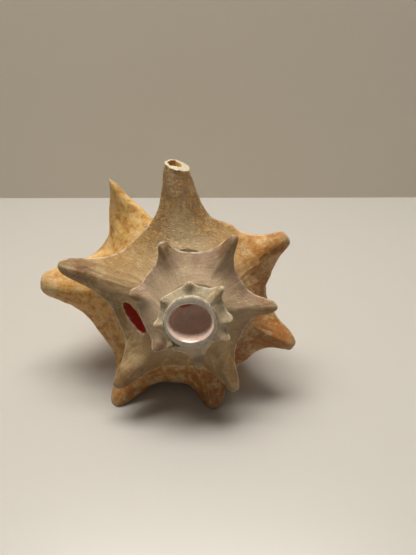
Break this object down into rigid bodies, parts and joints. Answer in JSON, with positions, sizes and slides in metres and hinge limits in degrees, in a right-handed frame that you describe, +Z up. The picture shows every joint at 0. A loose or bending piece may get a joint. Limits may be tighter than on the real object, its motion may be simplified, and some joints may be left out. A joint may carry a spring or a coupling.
{
  "type": "conch shell",
  "caption": "Spiny sea conch shell with its apex cut off as a blowing horn: round mouth hole, slot in the ramp, long open aperture and siphon.",
  "frame": {"origin": "centre of the bottom of the bounding box, on the surface that the shell lies on", "axes": "+Z up, -Y towards the cut apex, +Y towards the siphon, +X to the right as seen facing the apex"},
  "size_m": [0.1676, 0.1934, 0.1544],
  "materials": {
    "shell": "satin, chalky outside, porcelain inside"
  },
  "bodies": {
    "root": {"shell": "shell"}
  },
  "joints": []
}
